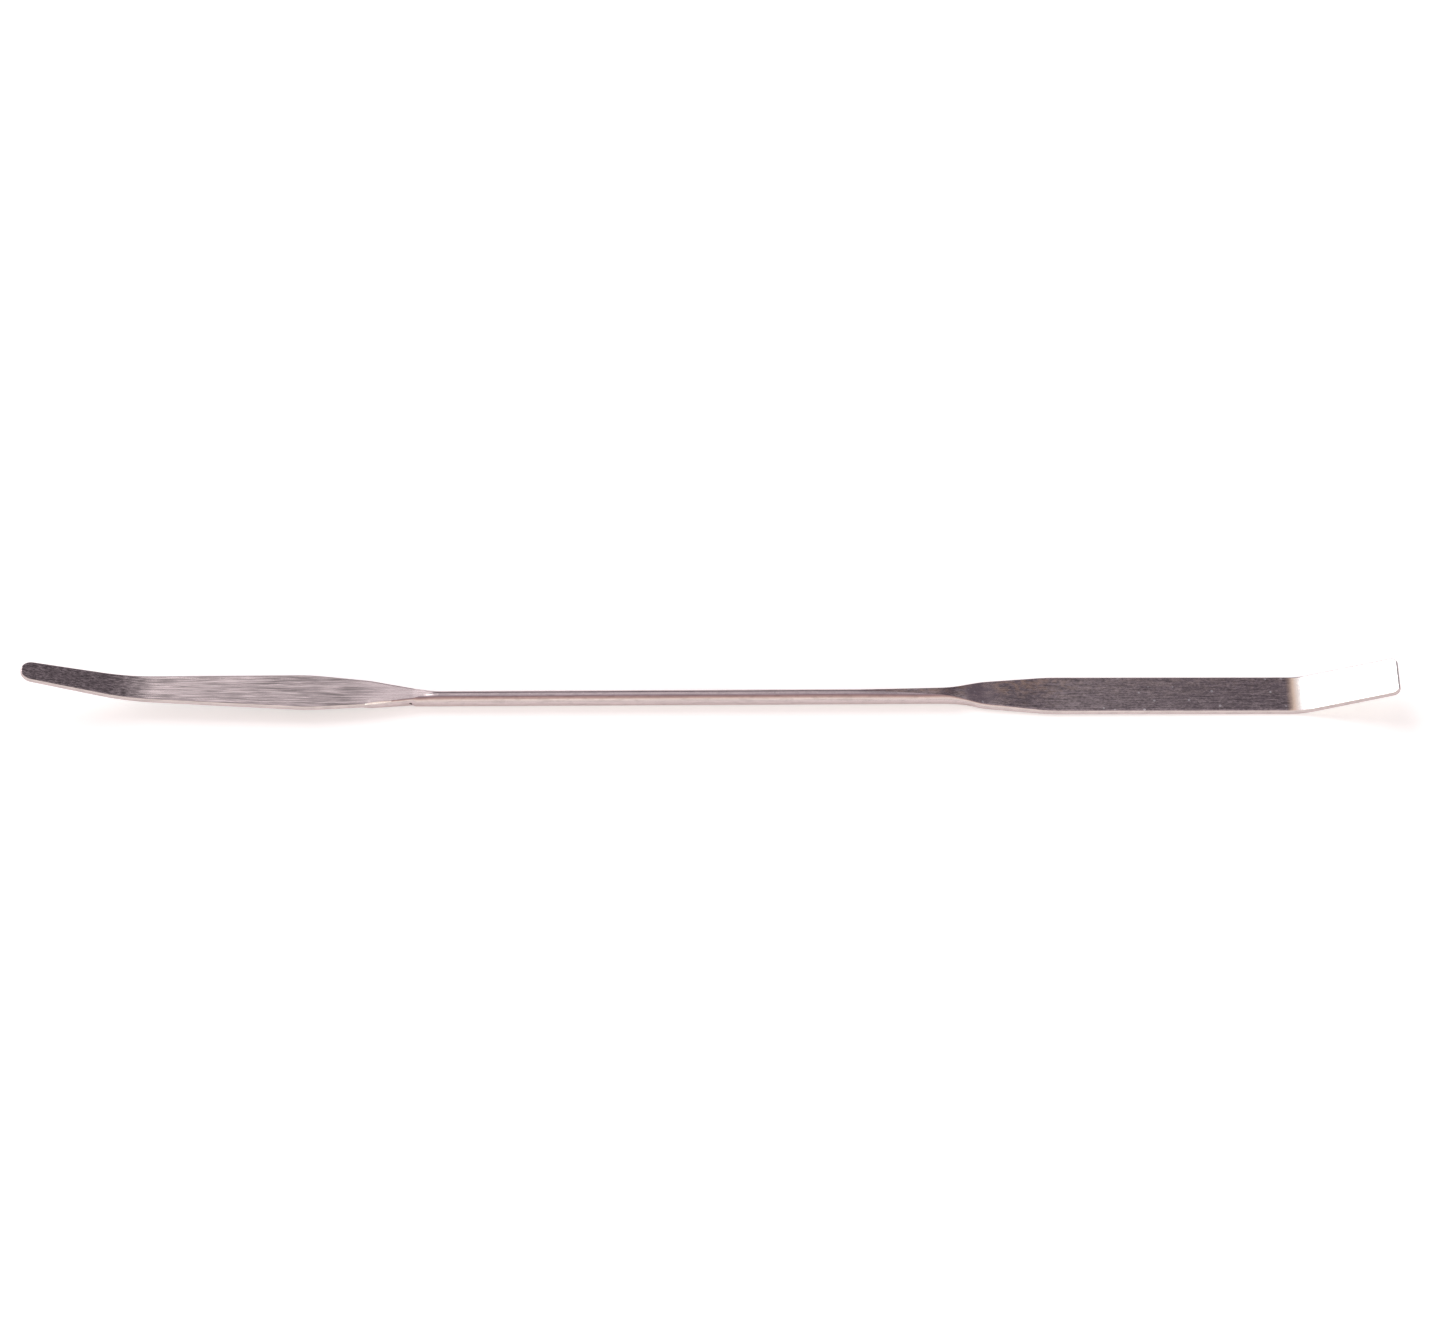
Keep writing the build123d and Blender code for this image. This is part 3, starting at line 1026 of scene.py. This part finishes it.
def make_table(context):
    """A plain white table, a little brighter to the eye than the light on it, as a lit sweep is."""
    bm = bmesh.new()
    bmesh.ops.create_circle(bm, cap_ends=True, radius=TABLE_RADIUS, segments=TABLE_SEGMENTS)
    bmesh.ops.translate(bm, verts=bm.verts, vec=(0, 0, -TABLE_GAP))
    mesh = bpy.data.meshes.new("table")
    bm.to_mesh(mesh)
    bm.free()
    table = bpy.data.objects.new("table", mesh)
    context.collection.objects.link(table)
    material, nodes = new_material("table_white")
    paper = nodes.add("ShaderNodeBsdfDiffuse", {"Color": TABLE_WHITE})
    glow = nodes.add("ShaderNodeEmission", {"Color": WHITE, "Strength": table_glow(nodes)})
    both = nodes.add("ShaderNodeAddShader", {0: paper.outputs[0], 1: glow.outputs[0]})
    nodes.add("ShaderNodeOutputMaterial", {"Surface": both.outputs[0]})
    mesh.materials.append(material)


def make_room(context):
    """White to the camera; to the spatula, a dark room with a pale wall in front and a glow behind."""
    world = bpy.data.worlds.new("room")
    context.scene.world = world
    world.use_nodes = True
    nodes = Nodes(world.node_tree)
    direction = nodes.add("ShaderNodeTexCoord").outputs["Generated"]
    parts = nodes.add("ShaderNodeSeparateXYZ", {0: direction})
    angle = nodes.math("ARCTAN2", parts.outputs["Z"], parts.outputs["Y"])
    height = nodes.math("DIVIDE", angle, pi)
    side = nodes.remap(parts.outputs["X"], -1.0, 1.0, 0.0, 1.0)
    walls = nodes.ramp(height, ROOM)
    across, upwards = (
        nodes.ramp(value, [(position, (strength,) * 3) for position, strength in stops])
        for value, stops in ((side, GLOW_ACROSS), (height, GLOW_UPWARDS))
    )
    glow = nodes.mix(1.0, across, upwards, blend="MULTIPLY")
    lit = nodes.mix(1.0, walls, glow, blend="ADD")
    path = nodes.add("ShaderNodeLightPath")
    colour = nodes.mix(path.outputs["Is Camera Ray"], lit, WHITE)
    background = nodes.add("ShaderNodeBackground", {"Color": colour, "Strength": 1.0})
    nodes.add("ShaderNodeOutputWorld", {"Surface": background.outputs[0]})


def make_softbox(context, stage):
    """One softbox, behind and to the left of the spatula."""
    light = bpy.data.lights.new("softbox", "AREA")
    light.shape = "DISK"
    light.size = stage.softbox_size
    light.energy = stage.softbox_power
    softbox = bpy.data.objects.new("softbox", light)
    softbox.location = SOFTBOX_DIRECTION * SOFTBOX_DISTANCE
    softbox.rotation_euler = SOFTBOX_DIRECTION.to_track_quat("Z", "Y").to_euler()
    softbox.visible_camera = False
    context.collection.objects.link(softbox)


def make_camera(context, stage):
    """The camera, above and in front of the spatula."""
    camera = bpy.data.objects.new("camera", bpy.data.cameras.new("camera"))
    camera.data.sensor_width = SENSOR_WIDTH
    camera.data.lens = stage.lens
    camera.data.clip_start = NEAREST_SEEN
    camera.data.clip_end = FURTHEST_SEEN
    away = Vector((0, -cos(stage.elevation), sin(stage.elevation)))
    camera.location = Vector(stage.target) + away * stage.distance
    camera.rotation_euler = (pi / 2 - stage.elevation, 0, 0)
    camera.rotation_euler.rotate_axis("Z", -stage.roll)
    context.collection.objects.link(camera)
    context.scene.camera = camera


class SPATULA_OT_stage(bpy.types.Operator):
    """Set up the white table, the softbox, the room and the camera"""

    bl_idname = "spatula.make_stage"
    bl_label = "Make the stage"
    bl_options = {"REGISTER", "UNDO"}

    def execute(self, context):
        stage = context.scene.spatula_stage
        make_table(context)
        make_room(context)
        make_softbox(context, stage)
        make_camera(context, stage)
        context.scene.view_settings.view_transform = "Standard"
        return {"FINISHED"}


class SPATULA_PT_panel(bpy.types.Panel):
    """Sizes, finishes and buttons for the spatula"""

    bl_idname = "SPATULA_PT_panel"
    bl_label = "Lab Spatula"
    bl_space_type = "VIEW_3D"
    bl_region_type = "UI"
    bl_category = "Spatula"

    def draw(self, context):
        for group in (context.scene.spatula_sizes, context.scene.spatula_steel):
            column = self.layout.column(align=True)
            for name in group.__annotations__:
                column.prop(group, name)
        self.layout.operator(SPATULA_OT_wire.bl_idname)
        column = self.layout.column(align=True)
        for name in StageSizes.__annotations__:
            column.prop(context.scene.spatula_stage, name)
        self.layout.operator(SPATULA_OT_stage.bl_idname)


CLASSES = (SpatulaSizes, SteelFinish, StageSizes, SPATULA_OT_wire, SPATULA_OT_stage, SPATULA_PT_panel)


def register():
    """Adds the spatula's sizes, operators and panel."""
    for item in CLASSES:
        bpy.utils.register_class(item)
    bpy.types.Scene.spatula_sizes = PointerProperty(type=SpatulaSizes)
    bpy.types.Scene.spatula_steel = PointerProperty(type=SteelFinish)
    bpy.types.Scene.spatula_stage = PointerProperty(type=StageSizes)


def unregister():
    """Takes them away again."""
    del bpy.types.Scene.spatula_stage
    del bpy.types.Scene.spatula_steel
    del bpy.types.Scene.spatula_sizes
    for item in reversed(CLASSES):
        bpy.utils.unregister_class(item)


def main():
    """Makes the spatula and its stage."""
    register()
    bpy.ops.spatula.make_wire()
    bpy.ops.spatula.make_stage()


if __name__ == "__main__":
    main()
